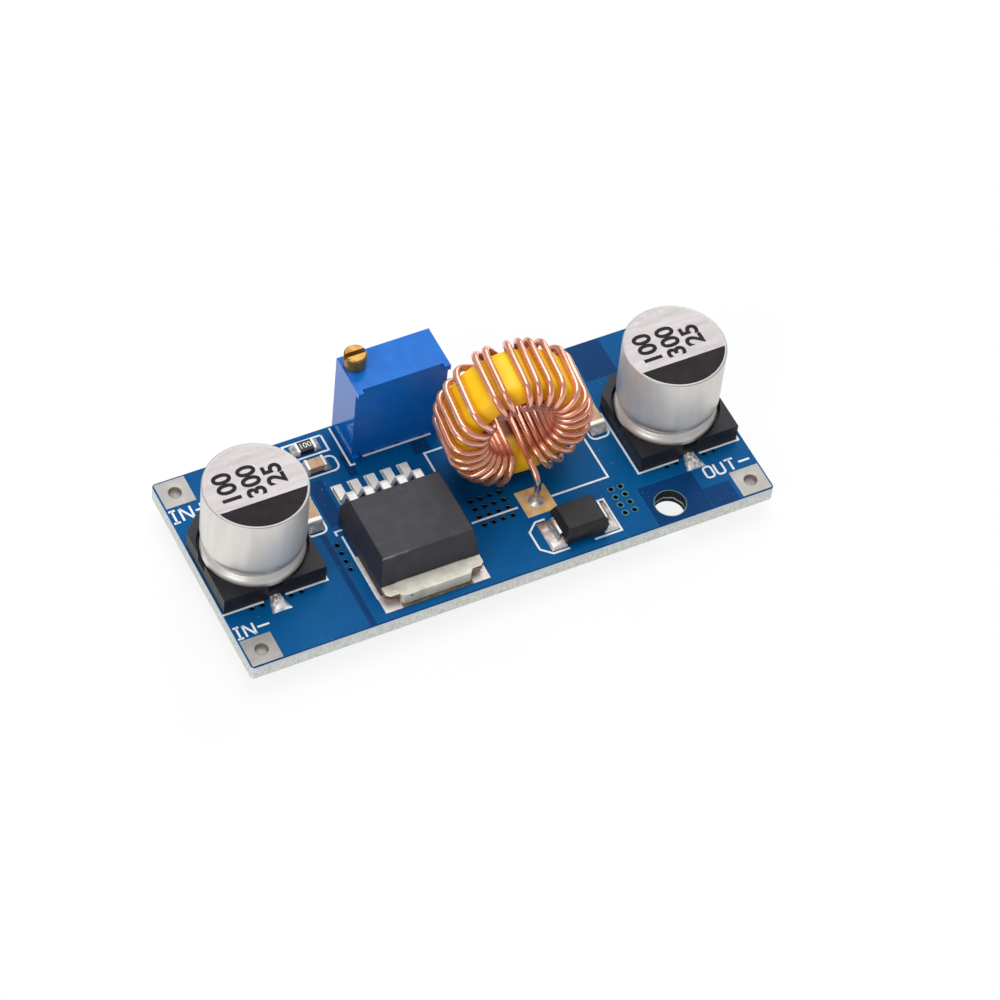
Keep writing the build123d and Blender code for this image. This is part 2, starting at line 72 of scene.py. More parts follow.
class Shape:
    """Points in millimetres and the faces between them."""

    def __init__(self):
        self.points = []
        self.faces = []

    def skin(self, rings, loop=False):
        """Joins rings of equally many points, into a loop or with a flat cap at each end."""
        base = len(self.points)
        count = len(rings[0])
        self.points += [Vector(point) for ring in rings for point in ring]
        spans = len(rings) if loop else len(rings) - 1
        for j in range(spans):
            low = base + j * count
            high = base + (j + 1) % len(rings) * count
            for i in range(count):
                k = (i + 1) % count
                self.faces.append((low + i, low + k, high + k, high + i))
        if not loop:
            self.faces.append(tuple(base + i for i in reversed(range(count))))
            self.faces.append(tuple(len(self.points) - count + i for i in range(count)))

    def patch(self, rows):
        """A surface through rows of equally many points."""
        base = len(self.points)
        count = len(rows[0])
        self.points += [Vector(point) for row in rows for point in row]
        for j in range(len(rows) - 1):
            for i in range(count - 1):
                low = base + j * count + i
                self.faces.append((low, low + 1, low + count + 1, low + count))


def placed(name, mesh, material):
    """Makes a mesh an object of one material that rides on the board."""
    mesh.materials.clear()
    mesh.materials.append(material)
    made = bpy.data.objects.new(name, mesh)
    bpy.context.collection.objects.link(made)
    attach(made, "root")
    return made


def piece(name, shape, material, crease_deg=35):
    """Makes a shape an object, smooth but for its sharper edges."""
    mesh = bpy.data.meshes.new(name)
    mesh.from_pydata([point * MM for point in shape.points], [], shape.faces)
    mesh.shade_smooth()
    mesh.set_sharp_from_angle(angle=math.radians(crease_deg))
    return placed(name, mesh, material)


def circle(x, y, z, radius, sides):
    """A level ring of points."""
    turns = [2 * math.pi * i / sides for i in range(sides)]
    return [(x + radius * math.cos(a), y + radius * math.sin(a), z) for a in turns]


def turned(shape, x, y, profile, sides, loop=False):
    """A turned form round an upright axis, from (radius, height) pairs."""
    shape.skin([circle(x, y, z, radius, sides) for radius, z in profile], loop=loop)


def arc(centre_u, centre_v, radius, start_deg, end_deg, steps):
    """Points on an arc in a section's own plane."""
    turns = [math.radians(start_deg + (end_deg - start_deg) * i / steps) for i in range(steps + 1)]
    return [(centre_u + radius * math.cos(a), centre_v + radius * math.sin(a)) for a in turns]


def swept(shape, route, radius, sides):
    """A round tube along a route, its section carried along without a twist."""
    side = None
    rings = []
    for i, point in enumerate(route):
        before = route[max(i - 1, 0)]
        after = route[min(i + 1, len(route) - 1)]
        along = (after - before).normalized()
        side = along.orthogonal() if side is None else side
        side = (side - along * side.dot(along)).normalized()
        across = along.cross(side)
        turns = [2 * math.pi * k / sides for k in range(sides)]
        rings.append([point + (side * math.cos(a) + across * math.sin(a)) * radius for a in turns])
    shape.skin(rings)


def printed_line(shape, line, width, z):
    """A flat printed line with mitred corners through (x, y) points."""
    line = [Vector(point) for point in line]
    rings = []
    for i, point in enumerate(line):
        before = line[i] - line[i - 1] if i else line[1] - line[0]
        after = line[i + 1] - line[i] if i < len(line) - 1 else before
        along = (before.normalized() + after.normalized()).normalized()
        reach = width / 2 / max(along.dot(before.normalized()), 0.3)
        side = Vector((-along.y, along.x)) * reach
        left, right = point + side, point - side
        rings.append([
            (left.x, left.y, z), (right.x, right.y, z),
            (right.x, right.y, z + print_lift), (left.x, left.y, z + print_lift),
        ])
    shape.skin(rings)


def stamped_number(name, words, x, y, z, height, material, turn_deg=0, weight=0.0):
    """A printed number of a given height round (x, y), reading along the turned X axis."""
    # The height of a figure as a share of the typeface's size.
    capital_share = 0.7
    curve = bpy.data.curves.new(name, "FONT")
    curve.body = words
    curve.size = height / capital_share * MM
    curve.align_x = "CENTER"
    curve.align_y = "CENTER"
    curve.offset = weight * MM
    curve.extrude = print_lift / 2 * MM
    source = bpy.data.objects.new(name, curve)
    mesh = bpy.data.meshes.new_from_object(source)
    bpy.data.objects.remove(source)
    place = Matrix.Translation(Vector((x, y, z + print_lift / 2)) * MM)
    mesh.transform(place @ Matrix.Rotation(math.radians(turn_deg), 4, "Z"))
    return placed(name, mesh, material)


def plotted_strokes(letter):
    """A letter's strokes in a cell one unit high, as a plotter draws them, and its width."""
    bowl = 0.22
    width = 0.62
    foot = arc(bowl, bowl, bowl, 180, 270, 4) + arc(width - bowl, bowl, bowl, 270, 360, 4)
    head = arc(width - bowl, 1 - bowl, bowl, 0, 90, 4) + arc(bowl, 1 - bowl, bowl, 90, 180, 4)
    dash = [(0, 0.5), (0.9, 0.5)]
    letters = {
        "I": ([[(0, 0), (0.44, 0)], [(0.22, 0), (0.22, 1)], [(0, 1), (0.44, 1)]], 0.44),
        "N": ([[(0, 0), (0, 1)], [(0.04, 1), (0.68, 0)], [(0.72, 0), (0.72, 1)]], 0.72),
        "O": ([foot + head + foot[:1]], width),
        "U": ([[(0, 1)] + foot + [(width, 1)]], width),
        "T": ([[(0, 1), (0.7, 1)], [(0.35, 1), (0.35, 0)]], 0.7),
        "+": ([dash, [(0.45, 0.05), (0.45, 0.95)]], 0.9),
        "-": ([dash], 0.9),
    }
    return letters[letter]


def plotted_words(shape, words, x, y, height, weight):
    """Board lettering from its lower left corner at (x, y)."""
    letter_gap = 0.27
    for letter in words:
        strokes, width = plotted_strokes(letter)
        for stroke in strokes:
            line = [(x + u * height, y + v * height) for u, v in stroke]
            printed_line(shape, line, weight, board_top)
        x += (width + letter_gap) * height


# Materials

def linear(colour):
    """A display colour, each channel from 0 to 255, in a shader's linear values."""
    shares = [value / 255 for value in colour]
    return (*(s / 12.92 if s <= 0.04045 else ((s + 0.055) / 1.055) ** 2.4 for s in shares), 1.0)


class Finish:
    """A procedural material, built node by node, with coordinates in millimetres."""

    def __init__(self, name):
        self.material = bpy.data.materials.new(name)
        self.material.use_nodes = True
        self.tree = self.material.node_tree
        self.surface = self.tree.nodes["Principled BSDF"]
        where = self.tree.nodes.new("ShaderNodeTexCoord")
        self.place = self.vector("MULTIPLY", where.outputs["Object"], (1 / MM,) * 3)

    def join(self, value, socket):
        """Feeds a socket from another socket or from a constant."""
        if isinstance(value, bpy.types.NodeSocket):
            self.tree.links.new(value, socket)
        else:
            socket.default_value = value

    def math(self, operation, *values):
        """An operation on numbers."""
        made = self.tree.nodes.new("ShaderNodeMath")
        made.operation = operation
        for value, socket in zip(values, made.inputs):
            self.join(value, socket)
        return made.outputs[0]

    def vector(self, operation, *values):
        """An operation on vectors."""
        made = self.tree.nodes.new("ShaderNodeVectorMath")
        made.operation = operation
        for value, socket in zip(values, made.inputs):
            self.join(value, socket)
        return made.outputs[0]

    def parts(self, value):
        """The X, Y and Z of a vector."""
        made = self.tree.nodes.new("ShaderNodeSeparateXYZ")
        self.join(value, made.inputs[0])
        return made.outputs

    def height(self):
        """How high a point lies."""
        return self.parts(self.place)[2]

    def facing(self, axis):
        """How far the surface faces along an axis: 0 for X, 1 for Y, 2 for Z."""
        made = self.tree.nodes.new("ShaderNodeNewGeometry")
        return self.parts(made.outputs["Normal"])[axis]

    def reach(self, *offsets):
        """The length of a line with these offsets."""
        squares = [self.math("POWER", offset, 2) for offset in offsets]
        total = squares[0]
        for square in squares[1:]:
            total = self.math("ADD", total, square)
        return self.math("SQRT", total)

    def grain(self, per_mm, detail=3.0, stretch=(1, 1, 1)):
        """Noise with about so many features per millimetre."""
        made = self.tree.nodes.new("ShaderNodeTexNoise")
        made.inputs["Scale"].default_value = per_mm
        made.inputs["Detail"].default_value = detail
        self.join(self.vector("MULTIPLY", self.place, stretch), made.inputs["Vector"])
        return made.outputs["Fac"]

    def cloud(self, per_mm, detail=3.0, stretch=(1, 1, 1)):
        """Soft blotches from 0 to 1."""
        return self.span(self.grain(per_mm, detail, stretch), 0.3, 0.7)

    def span(self, value, low, high, to_low=0.0, to_high=1.0):
        """Maps a range of one value to another range."""
        made = self.tree.nodes.new("ShaderNodeMapRange")
        for given, key in (
            (value, "Value"), (low, "From Min"), (high, "From Max"),
            (to_low, "To Min"), (to_high, "To Max"),
        ):
            self.join(given, made.inputs[key])
        return made.outputs[0]

    def blend(self, share, first, second):
        """A mix of two colours, each a socket or a display colour."""
        made = self.tree.nodes.new("ShaderNodeMix")
        made.data_type = "RGBA"
        self.join(share, made.inputs[0])
        for colour, index in ((first, 6), (second, 7)):
            self.join(linear(colour) if isinstance(colour, tuple) else colour, made.inputs[index])
        return made.outputs[2]

    def relief(self, height, depth, after=None):
        """A bumped normal, its depth in millimetres, over another one if given."""
        made = self.tree.nodes.new("ShaderNodeBump")
        made.inputs["Strength"].default_value = 1.0
        made.inputs["Distance"].default_value = depth * MM
        self.join(height, made.inputs["Height"])
        if after is not None:
            self.join(after, made.inputs["Normal"])
        return made.outputs[0]

    def inside(self, left, right, front, rear, soft):
        """1 inside an upright box through the object, 0 outside it."""
        centre = ((left + right) / 2, (front + rear) / 2, 0)
        half_size = ((right - left) / 2, (rear - front) / 2, 0)
        offset = self.vector("ABSOLUTE", self.vector("SUBTRACT", self.place, centre))
        beyond = self.parts(self.vector("SUBTRACT", offset, half_size))
        return self.span(self.math("MAXIMUM", beyond[0], beyond[1]), soft, -soft)

    def near(self, centre, radius, soft):
        """1 within a radius of a point, or of an upright line through (x, y), and 0 beyond."""
        offsets = [self.math("SUBTRACT", *pair) for pair in zip(self.parts(self.place), centre)]
        return self.span(self.reach(*offsets), radius + soft, radius - soft)

    def set(self, **values):
        """Sets or feeds sockets of the surface, with a space for each underscore."""
        for key, value in values.items():
            self.join(value, self.surface.inputs[key.replace("_", " ")])


def plain_finish(name, dark, light, roughness, metallic=0.0, per_mm=0.6, depth=0.004, fine_per_mm=9.0,
                 coat=0.0, gloss=0.5):
    """Two close tones in soft blotches over a fine relief."""
    made = Finish(name)
    fine = made.grain(fine_per_mm)
    made.set(
        Base_Color=made.blend(made.cloud(per_mm), dark, light),
        Roughness=made.span(fine, 0.3, 0.7, roughness * 0.85, roughness * 1.15),
        Metallic=metallic,
        Coat_Weight=coat,
        Coat_Roughness=0.12,
        Specular_IOR_Level=gloss,
        Normal=made.relief(fine, depth),
    )
    return made.material


def board_finish():
    """Blue mask over copper pours on both faces, pale sawn laminate on the sides, and painted shade on
    the walls of the mounting holes.
    """
    made = Finish("solder_mask")
    height = made.height()
    face = made.span(made.math("ABSOLUTE", made.facing(2)), 0.4, 0.6)
    hole_square = (14.8, 20.6, -11.5, -6.55)
    # The left, right, front and rear of each gap between pours, and how soft its edge is.
    gaps = (
        (-15.0, -14.4, -11.5, 0.0, 0.06),
        (*hole_square, 0.05),
        (20.6, 23.4, -11.5, -9.0, 0.05),
        (16.4, 19.8, 6.9, 11.5, 0.05),
        (-half_length, half_length, -11.6, -11.33, 0.04),
        (-13.6, -12.1, 0.4, 6.0, 0.1),
        (-9.4, -8.5, 5.2, 7.9, 0.1),
        (-2.6, -0.9, 5.2, 6.8, 0.1),
    )
    bare = made.inside(*gaps[0])
    for gap in gaps[1:]:
        bare = made.math("MAXIMUM", bare, made.inside(*gap))
    cloud = made.cloud(0.22)
    pour = made.blend(cloud, (0, 80, 138), (0, 88, 146))
    under = made.blend(cloud, (2, 54, 106), (6, 62, 114))
    left, right, front, rear = hole_square
    pale_edge = 0.08
    outline = made.inside(left - pale_edge, right + pale_edge, front, rear + pale_edge, 0.03)
    mask = made.blend(made.math("MULTIPLY", outline, 0.6), pour, (24, 108, 164))
    mask = made.blend(bare, mask, under)
    dust = made.span(made.grain(3.4, 1.0), 0.745, 0.765)
    mask = made.blend(made.math("MULTIPLY", dust, 0.3), mask, (150, 190, 214))
    weave = made.span(made.grain(5.0, 4.0, (1, 1, 0.35)), 0.35, 0.65)
    speck = made.span(made.grain(16.0, 2.0), 0.56, 0.64)
    laminate = made.blend(weave, (208, 211, 203), (234, 236, 231))
    laminate = made.blend(speck, laminate, (172, 178, 168))
    layer = made.span(height, board_top - 0.5, board_top - 0.35)
    laminate = made.blend(made.math("MULTIPLY", layer, 0.7), laminate, (204, 214, 226))
    drilled = made.math("MAXIMUM", *(
        made.near(place, mounting_radius + 0.1, 0.02) for place in mounting_places
    ))
    # The mounting holes' laminate walls are painted near black as shade, but for a ragged pale line
    # 0.55 mm above the board's underside.
    pale_line_height = board_under + 0.55
    ragged = made.span(made.grain(2.2), 0.3, 0.7, -0.1, 0.1)
    from_pale_line = made.math("SUBTRACT", made.math("SUBTRACT", height, pale_line_height), ragged)
    pale_line = made.span(made.math("ABSOLUTE", from_pale_line), 0.13, 0.08)
    shaded_drill_wall = made.blend(pale_line, (42, 46, 49), (196, 199, 197))
    laminate = made.blend(drilled, laminate, shaded_drill_wall)
    fine = made.grain(7.0)
    ripple = made.relief(made.math("MULTIPLY", made.grain(1.3, 2.0), face), 0.02)
    rough = made.relief(made.math("MULTIPLY", fine, made.math("SUBTRACT", 1.0, face)), 0.09, ripple)
    made.set(
        Base_Color=made.blend(face, laminate, mask),
        Roughness=made.span(face, 0, 1, 0.75, 0.4),
        Specular_IOR_Level=0.06,
        Normal=rough,
    )
    return made.material


def can_finish():
    """Satin drawn aluminium, painted darker on its rim as shade over its highlight, bright above its
    bead, with faint upright streaks.
    """
    made = Finish("can_aluminium")
    low, high = box("input_capacitor_can")
    height = made.height()
    # Painted shade: the rim's colour is darker than the wall's, to tone down the lamps' highlight on
    # it.
    rim = made.span(height, high.z - 0.12, high.z - 0.05)
    below_wall = made.span(height, low.z + 3.8, low.z + 2.3)
    above_bead = made.span(height, low.z + 1.5, low.z + 1.8)
    band = made.math("MINIMUM", below_wall, above_bead)
    streak = made.span(made.grain(1.2, 3.0, (1, 1, 0.2)), 0.25, 0.75)
    fine = made.grain(8.0, 3.0, (1, 1, 0.6))
    wall = made.blend(streak, (216, 213, 208), (226, 223, 218))
    made.set(
        Base_Color=made.blend(rim, wall, (168, 165, 162)),
        Roughness=made.span(fine, 0.3, 0.7, 0.32, 0.4),
        Metallic=made.span(band, 0, 1, 0.42, 0.92),
        Normal=made.relief(fine, 0.0015),
    )
    return made.material


def can_top_finish():
    """The can's printed end: pale lacquer with brushed streaks and small marks."""
    made = Finish("can_end_lacquer")
    streak = made.cloud(1.1, 4.0, (0.25, 1.5, 1))
    spot = made.span(made.grain(1.8), 0.62, 0.72)
    tone = made.blend(streak, (176, 169, 170), (197, 190, 191))
    tone = made.blend(made.math("MULTIPLY", spot, 0.5), tone, (212, 210, 211))
    made.set(
        Base_Color=tone,
        Roughness=0.5,
        Metallic=0.3,
        Normal=made.relief(made.grain(8.0), 0.004),
    )
    return made.material


def solder_finish():
    """Bright solder with soft folds."""
    made = Finish("bright_solder")
    fold = made.grain(2.2)
    made.set(
        Base_Color=made.blend(made.span(fold, 0.35, 0.65), (168, 166, 170), (236, 234, 234)),
        Roughness=made.span(fold, 0.3, 0.7, 0.26, 0.42),
        Metallic=0.6,
        Normal=made.relief(fold, 0.05),
    )
    return made.material


def bore_finish():
    """Plating painted with shade at the mouth of a hole and with light towards its foot."""
    made = Finish("bore_plating")
    drift = made.span(made.grain(1.5, 2.0), 0, 1, -0.3, 0.3)
    # Painted light and shade: darker at the hole's mouth, brighter towards its foot.
    deep = made.span(made.math("ADD", made.height(), drift), board_top - 0.25, board_top - 1.0)
    made.set(
        Base_Color=made.blend(deep, (128, 118, 110), (242, 238, 232)),
        Roughness=0.4,
        Metallic=0.15,
        Normal=made.relief(made.grain(4.0), 0.01),
    )
    return made.material


def via_rim_finish():
    """Dark rims under the mask, brighter ones in the right-hand group, and hole walls painted near
    black as shade.
    """
    made = Finish("via_rim")
    level = made.math("ABSOLUTE", made.facing(2))
    bright = made.inside(12.0, 14.3, -9.3, -5.4, 0.05)
    patch = made.span(made.grain(1.5, 2.0), 0.35, 0.65)
    tone = made.blend(patch, (2, 50, 84), (8, 66, 96))
    tone = made.blend(bright, tone, made.blend(patch, (48, 118, 132), (96, 146, 138)))
    made.set(
        # Faces that are not level, the hole walls and funnels, are painted near black as shade.
        Base_Color=made.blend(made.span(level, 0.85, 0.95), (3, 9, 14), tone),
        Roughness=0.45,
        Specular_IOR_Level=0.15,
        Normal=made.relief(made.grain(5.0, 2.0), 0.01),
    )
    return made.material


def tab_finish():
    """Tinned copper, with bare copper streaked dark on the cut sides of its ears."""
    made = Finish("tab_tin")
    low, high = box("regulator_tab")
    middle_x = middle("regulator_tab").x
    cut = made.span(made.facing(2), 0.35, 0.05)
    neck_half = 3.55
    aside = made.math("ABSOLUTE", made.math("SUBTRACT", made.parts(made.place)[0], middle_x))
    ear = made.span(aside, neck_half, neck_half + 0.15)
    streak = made.span(made.grain(2.4, 3.0, (0.5, 1, 3.0)), 0.42, 0.56)
    tin = made.blend(made.cloud(0.8), (188, 184, 170), (222, 218, 206))
    pit = made.span(made.grain(1.4, 2.0), 0.7, 0.74)
    tin = made.blend(made.math("MULTIPLY", pit, 0.6), tin, (120, 108, 92))
    # A small hole painted as a dark spot of shade.
    hole = made.near((low.x + 2.37, low.y, high.z - 0.3), 0.12, 0.04)
    tin = made.blend(hole, tin, (44, 40, 34))
    # Bare copper streaked dark on the upright faces of the ears.
    streaked_copper = made.blend(streak, (52, 38, 32), (176, 130, 108))
    made.set(
        Base_Color=made.blend(made.math("MULTIPLY", cut, ear), tin, streaked_copper),
        Roughness=0.42,
        Metallic=0.2,
        Normal=made.relief(made.grain(2.5), 0.02),
    )
    return made.material


def regulator_land_finish():
    """A tinned land, with painted shadow in brown flux tones along the tab's foot."""
    made = Finish("regulator_land")
    tab_front = box("regulator_tab")[0].y
    middle_x = middle("regulator_tab").x
    half = 3.6
    # Painted shadow of the tab, in brown flux tones, along its foot.
    foot = made.inside(middle_x - half, middle_x + half, tab_front - 2, tab_front + 1, 0.12)
    stain = made.cloud(1.1)
    fine = made.grain(2.5)
    bright = made.blend(stain, (206, 198, 194), (236, 230, 224))
    brown_tone = made.blend(stain, (66, 60, 46), (124, 114, 92))
    made.set(
        Base_Color=made.blend(foot, bright, brown_tone),
        Roughness=made.span(fine, 0.3, 0.7, 0.34, 0.46),
        Metallic=0.3,
        Normal=made.relief(fine, 0.03),
    )
    return made.material


def moulding_finish():
    """Dark grey epoxy, with a faint round mark on top and a pale broken line along its front top edge.
    """
    made = Finish("dark_moulding")
    low, high = box("regulator_body")
    tone = made.blend(made.cloud(0.8), (45, 44, 51), (55, 54, 61))
    mark = ((low.x + high.x) / 2 + 0.4, high.y - 1.7)
    outer_disc = made.near(mark, 0.56, 0.05)
    inner_disc = made.near(mark, 0.4, 0.05)
    ring = made.math("SUBTRACT", outer_disc, inner_disc)
    tone = made.blend(made.math("MULTIPLY", ring, 0.45), tone, (30, 29, 34))
    # A pale broken line along the front top edge, strongest near the left corner.
    edge_y = low.y + 0.84
    along = made.inside(low.x, low.x + 3.8, edge_y - 0.09, edge_y + 0.09, 0.07)
    broken = made.span(made.grain(1.9, 3.0, (0.5, 1, 1)), 0.45, 0.6)
    near_corner = made.inside(low.x + 0.2, low.x + 1.5, edge_y - 0.04, edge_y + 0.04, 0.06)
    faint = made.math("MULTIPLY", along, made.math("MULTIPLY", broken, 0.4))
    high_up = made.span(made.height(), high.z - 0.2, high.z - 0.1)
    pale_edge_line = made.math("MULTIPLY", made.math("MAXIMUM", faint, near_corner), high_up)
    pale_edge_line = made.math("MULTIPLY", pale_edge_line, 0.6)
    fine = made.grain(8.0)
    made.set(
        Base_Color=made.blend(pale_edge_line, tone, (168, 166, 170)),
        Roughness=made.span(fine, 0.3, 0.7, 0.43, 0.57),
        Specular_IOR_Level=0.3,
        Normal=made.relief(fine, 0.012),
    )
    return made.material


def trimmer_finish():
    """Blue moulding, polished on its top and ends and duller on its two broad faces."""
    made = Finish("trimmer_moulding")
    broad = made.span(made.math("ABSOLUTE", made.facing(1)), 0.4, 0.6)
    made.set(
        Base_Color=made.blend(made.cloud(1.0), (0, 101, 196), (0, 112, 208)),
        Roughness=made.span(broad, 0, 1, 0.13, 0.4),
        Specular_IOR_Level=0.5,
        Normal=made.relief(made.grain(3.0), 0.0012),
    )
    return made.material


def core_finish():
    """Yellow lacquer, painted dark amber as shade deep in the bore."""
    made = Finish("core_lacquer")
    offset = made.parts(made.vector("SUBTRACT", made.place, tuple(middle("inductor_core"))))
    # Painted shade: the rear part of the bore is darkened to amber brown.
    bore = made.span(made.reach(offset[0], offset[2]), 5.3, 4.6)
    deep = made.span(offset[1], -0.2, 0.5)
    lacquer = made.blend(made.cloud(0.5), (252, 192, 14), (255, 213, 34))
    made.set(
        Base_Color=made.blend(made.math("MULTIPLY", bore, deep), lacquer, (140, 62, 8)),
        Roughness=0.38,
        Specular_IOR_Level=0.3,
        Normal=made.relief(made.grain(4.0), 0.01),
    )
    return made.material


def diode_land_finish():
    """Lands with brown flux at the back and bright solder towards the front."""
    made = Finish("diode_land")
    drift = made.span(made.grain(1.1), 0.3, 0.7, -0.7, 0.7)
    across = made.math("ADD", made.parts(made.place)[1], drift)
    rear = made.span(across, middle("diode_solder").y - 0.2, box("diode_solder")[1].y - 0.2)
    stain = made.cloud(3.0)
    bright = made.blend(stain, (196, 188, 186), (238, 232, 230))
    brown_tone = made.blend(stain, (120, 92, 74), (176, 152, 132))
    made.set(
        Base_Color=made.blend(rear, bright, brown_tone),
        Roughness=made.span(stain, 0, 1, 0.3, 0.45),
        Metallic=0.35,
        Normal=made.relief(made.grain(3.0), 0.03),
    )
    return made.material


def inductor_pad_finish():
    """Bare copper with flux stains, tinned in places, and painted shade, dark brown, at the rear pad's
    corner.
    """
    made = Finish("fluxed_land")
    stain = made.cloud(0.9, 4.0)
    tinned = made.span(made.grain(0.7, 2.0), 0.6, 0.7)
    copper = made.blend(stain, (222, 175, 108), (248, 214, 154))
    copper = made.blend(tinned, copper, (224, 218, 210))
    corner = box("inductor_rear_pad")[1]
    # Painted shade, dark brown, where the ring shades the rear pad's corner.
    shaded_corner = made.near((corner.x - 0.3, corner.y - 0.6), 1.3, 0.35)
    made.set(
        Base_Color=made.blend(shaded_corner, copper, (92, 48, 22)),
        Roughness=made.span(stain, 0, 1, 0.3, 0.5),
        Metallic=0.25,
        Normal=made.relief(made.grain(3.0), 0.03),
    )
    return made.material


mask = board_finish()
ink_white = plain_finish("white_print", (228, 232, 236), (244, 246, 248), 0.55, gloss=0.2)
ink_black = plain_finish("black_print", (20, 15, 20), (34, 27, 32), 0.45, gloss=0.12)
via_rim = via_rim_finish()
hole_rim = plain_finish("hole_rim", (70, 120, 130), (120, 150, 146), 0.4, gloss=0.3)
land_tin = plain_finish(
    "land_tin", (150, 146, 143), (176, 172, 168), 0.42,
    metallic=0.2, per_mm=0.5, depth=0.01, fine_per_mm=4.0,
)
bore_tin = bore_finish()
regulator_land = regulator_land_finish()
lead_tin = plain_finish(
    "lead_tin", (222, 219, 212), (244, 240, 233), 0.36,
    metallic=0.2, per_mm=0.9, depth=0.008, fine_per_mm=5.0,
)
tab_tin = tab_finish()
tinned_wire = plain_finish(
    "tinned_wire", (140, 144, 150), (186, 188, 190), 0.2,
    metallic=0.9, per_mm=0.8, fine_per_mm=4.0,
)
diode_tin = plain_finish(
    "diode_tin", (166, 164, 162), (206, 204, 200), 0.28,
    metallic=0.8, per_mm=0.9, depth=0.006, fine_per_mm=5.0,
)
solder = solder_finish()
can_metal = can_finish()
can_end = can_top_finish()
base_black = plain_finish("base_black", (26, 26, 32), (38, 38, 44), 0.45, gloss=0.25)
core_yellow = core_finish()
wire_copper = plain_finish(
    "wire_enamel", (228, 150, 120), (248, 182, 154), 0.19,
    metallic=0.72, per_mm=0.25, depth=0.0, fine_per_mm=3.0, coat=0.9,
)
pad_copper = inductor_pad_finish()
diode_land = diode_land_finish()
moulding = moulding_finish()
diode_black = plain_finish(
    "diode_moulding", (30, 28, 31), (42, 40, 43), 0.48,
    per_mm=1.2, depth=0.014, fine_per_mm=8.0, gloss=0.25,
)
trimmer_blue = trimmer_finish()
brass = plain_finish("turned_brass", (140, 102, 44), (186, 146, 78), 0.32, metallic=0.75, per_mm=1.5)
glaze_black = plain_finish("resistor_glaze", (26, 24, 24), (44, 40, 38), 0.35, per_mm=2.0, gloss=0.3)
ceramic = plain_finish("chip_ceramic", (186, 146, 110), (210, 172, 136), 0.45, per_mm=2.0)


# CAD nodes that keep their shape

def dressed(node, material, edge=0.0):
    """Gives a CAD node its material and rounds its edges."""
    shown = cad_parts[node]
    for held in shown.material_slots:
        held.material = material
    if edge:
        weld = shown.modifiers.new("joined_edges", "WELD")
        weld.merge_threshold = 1e-6
        bevel = shown.modifiers.new("rounded_edges", "BEVEL")
        bevel.width = edge * MM
        bevel.segments = 3
        bevel.limit_method = "ANGLE"
        bevel.angle_limit = math.radians(30)


def dress_cad_nodes():
    """Gives each CAD node that stays in sight its finish and its edge radius."""
    dressed("circuit_board", mask)
    for side in ("input", "output"):
        for pole in ("positive", "negative"):
            dressed(f"{side}_{pole}_terminal", land_tin)
        dressed(f"{side}_capacitor_base", base_black, edge=0.12)
        for end in ("front", "rear"):
            dressed(f"{side}_capacitor_{end}_terminal", lead_tin, edge=0.04)
    for end in ("front", "rear"):
        dressed(f"inductor_{end}_pad", pad_copper)
    dressed("regulator_body", moulding, edge=0.1)
    dressed("regulator_tab", tab_tin, edge=0.08)
    dressed("regulator_solder", regulator_land, edge=0.04)
    for number in range(1, 6):
        dressed(f"regulator_lead_{number}", lead_tin, edge=0.06)
    dressed("diode_body", diode_black, edge=0.12)
    for side in ("left", "right"):
        dressed(f"diode_{side}_lead", diode_tin, edge=0.04)
    dressed("trimmer_housing", trimmer_blue, edge=0.12)
    dressed("trimmer_screw", brass, edge=0.05)
    for number in range(1, 4):
        dressed(f"trimmer_pin_{number}", lead_tin)
    chips = {"chip_resistor": glaze_black}
    chips.update({f"chip_capacitor_{number}": ceramic for number in range(1, 4)})
    for chip, finish in chips.items():
        dressed(f"{chip}_body", finish, edge=0.04)
        dressed(f"{chip}_ends", lead_tin, edge=0.06)
    dressed("chip_solder", solder, edge=0.05)


# Board print and plating

